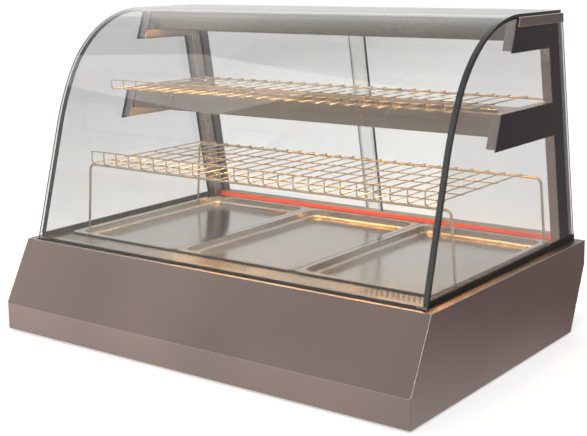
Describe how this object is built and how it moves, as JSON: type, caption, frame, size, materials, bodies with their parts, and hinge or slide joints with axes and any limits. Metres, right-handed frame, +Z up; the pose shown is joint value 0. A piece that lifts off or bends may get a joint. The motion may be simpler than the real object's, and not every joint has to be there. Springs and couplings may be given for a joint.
{
  "type": "heated display case",
  "caption": "Counter-top heated display case with curved hinged front glass, drop-in pans, wire racks, lamp beams and sliding rear doors.",
  "frame": {"origin": "centre of the case's footprint, on the surface that its feet stand on", "axes": "+X to the right seen from the customer's side, +Y from the front glass to the rear doors, +Z up"},
  "size_m": [1.09, 0.765, 0.729],
  "materials": {
    "satin_steel": "satin ground sheet, warm tint",
    "frame_steel": "ground steel, darker",
    "deck_steel": "bright satin sheet",
    "pan_steel": "pressed pans, semi-bright",
    "black_cover": "black, satin",
    "clear_glass": "clear toughened glass with dark edges",
    "wire_chrome": "plated wire",
    "black_rubber": "matt black",
    "red_silicone": "red heat-resistant strip",
    "anodised": "anodised extrusion",
    "dark_profile": "dark anodised",
    "quartz": "frosted quartz heat lamp",
    "white_ceramic": "glazed white ceramic",
    "bright_reflector": "bright rolled sheet",
    "black_plastic": "moulded black",
    "pilot_amber": "clear amber lens",
    "galvanised": "zinc-coated sheet",
    "screw_steel": "bright screw heads"
  },
  "bodies": {
    "case": {"base_shell": "satin_steel", "rear_panel": "satin_steel", "bottom_plate": "galvanised", "feet": "black_rubber", "deck_plate": "deck_steel", "pan_bars": "deck_steel", "vent_strip": "deck_steel", "frame_left": "frame_steel", "frame_right": "frame_steel", "frame_cover_left": "black_cover", "frame_cover_right": "black_cover", "side_glass_left": "clear_glass", "side_glass_right": "clear_glass", "side_channel_left": "dark_profile", "side_channel_right": "dark_profile", "edge_seal_left": "black_rubber", "edge_seal_right": "black_rubber", "hinge_bearings": "screw_steel", "top_beam": "frame_steel", "mid_beam": "frame_steel", "hood_cap": "frame_steel", "glass_buffers": "black_rubber", "upper_lamps": "quartz", "lower_lamps": "quartz", "upper_lamp_holders": "white_ceramic", "lower_lamp_holders": "white_ceramic", "upper_reflectors": "bright_reflector", "lower_reflectors": "bright_reflector", "bottom_track": "anodised", "top_track": "anodised", "sill_strip": "red_silicone", "shelf_pegs": "screw_steel", "air_box": "galvanised", "fan_rings": "black_plastic", "heaters": "screw_steel", "thermostat": "black_plastic", "switch_bodies": "black_plastic", "pilot_lamp": "pilot_amber", "cable_gland": "black_plastic", "terminal_block": "white_ceramic"},
    "front_glass": {"front_glass": "clear_glass", "hinge_barrel": "dark_profile", "hinge_pins": "screw_steel"},
    "door_left": {"door_left_pane": "clear_glass", "door_left_edges": "dark_profile"},
    "door_right": {"door_right_pane": "clear_glass", "door_right_edges": "anodised"},
    "pan_left": {"pan_left": "pan_steel"},
    "pan_centre": {"pan_centre": "pan_steel"},
    "pan_right": {"pan_right": "pan_steel"},
    "lower_rack": {"rack_grid": "wire_chrome", "rack_rods": "wire_chrome"},
    "upper_shelf": {"shelf_grid": "wire_chrome", "shelf_rods": "wire_chrome"},
    "thermostat_knob": {"thermostat_knob": "black_plastic"},
    "power_rocker": {"power_rocker": "black_plastic"},
    "lamp_rocker": {"lamp_rocker": "black_plastic"},
    "fan_left": {"fan_rotor_left": "black_plastic"},
    "fan_right": {"fan_rotor_right": "black_plastic"}
  },
  "joints": [
    {"name": "front_glass_hinge", "type": "hinge", "parent": "case", "child": "front_glass", "pos_m": [0, -0.294, 0.194], "axis": [1, 0, 0], "range_deg": [0, 35]},
    {"name": "door_left_slide", "type": "slide", "parent": "case", "child": "door_left", "axis": [1, 0, 0], "range_m": [0, 0.46]},
    {"name": "door_right_slide", "type": "slide", "parent": "case", "child": "door_right", "axis": [1, 0, 0], "range_m": [-0.46, 0]},
    {"name": "pan_left_lift", "type": "slide", "parent": "case", "child": "pan_left", "axis": [0, 0, 1], "range_m": [0, 0.08]},
    {"name": "pan_centre_lift", "type": "slide", "parent": "case", "child": "pan_centre", "axis": [0, 0, 1], "range_m": [0, 0.08]},
    {"name": "pan_right_lift", "type": "slide", "parent": "case", "child": "pan_right", "axis": [0, 0, 1], "range_m": [0, 0.08]},
    {"name": "lower_rack_lift", "type": "slide", "parent": "case", "child": "lower_rack", "axis": [0, 0, 1], "range_m": [0, 0.05]},
    {"name": "upper_shelf_lift", "type": "slide", "parent": "case", "child": "upper_shelf", "axis": [0, -0.1736, 0.9848], "range_m": [0, 0.06]},
    {"name": "thermostat_turn", "type": "hinge", "parent": "case", "child": "thermostat_knob", "pos_m": [0.38, 0.35333, 0.08437], "axis": [0, 0.9091, -0.4167], "range_deg": [0, 270]},
    {"name": "power_rocker_tip", "type": "hinge", "parent": "case", "child": "power_rocker", "pos_m": [0.3, 0.35333, 0.08437], "axis": [1, 0, 0], "range_deg": [-16, 0]},
    {"name": "lamp_rocker_tip", "type": "hinge", "parent": "case", "child": "lamp_rocker", "pos_m": [0.258, 0.35333, 0.08437], "axis": [1, 0, 0], "range_deg": [-16, 0]},
    {"name": "fan_left_spin", "type": "hinge", "parent": "case", "child": "fan_left", "pos_m": [-0.25, 0.2703, 0.129], "axis": [0, 1, 0], "continuous": true},
    {"name": "fan_right_spin", "type": "hinge", "parent": "case", "child": "fan_right", "pos_m": [0.25, 0.2703, 0.129], "axis": [0, 1, 0], "continuous": true}
  ]
}
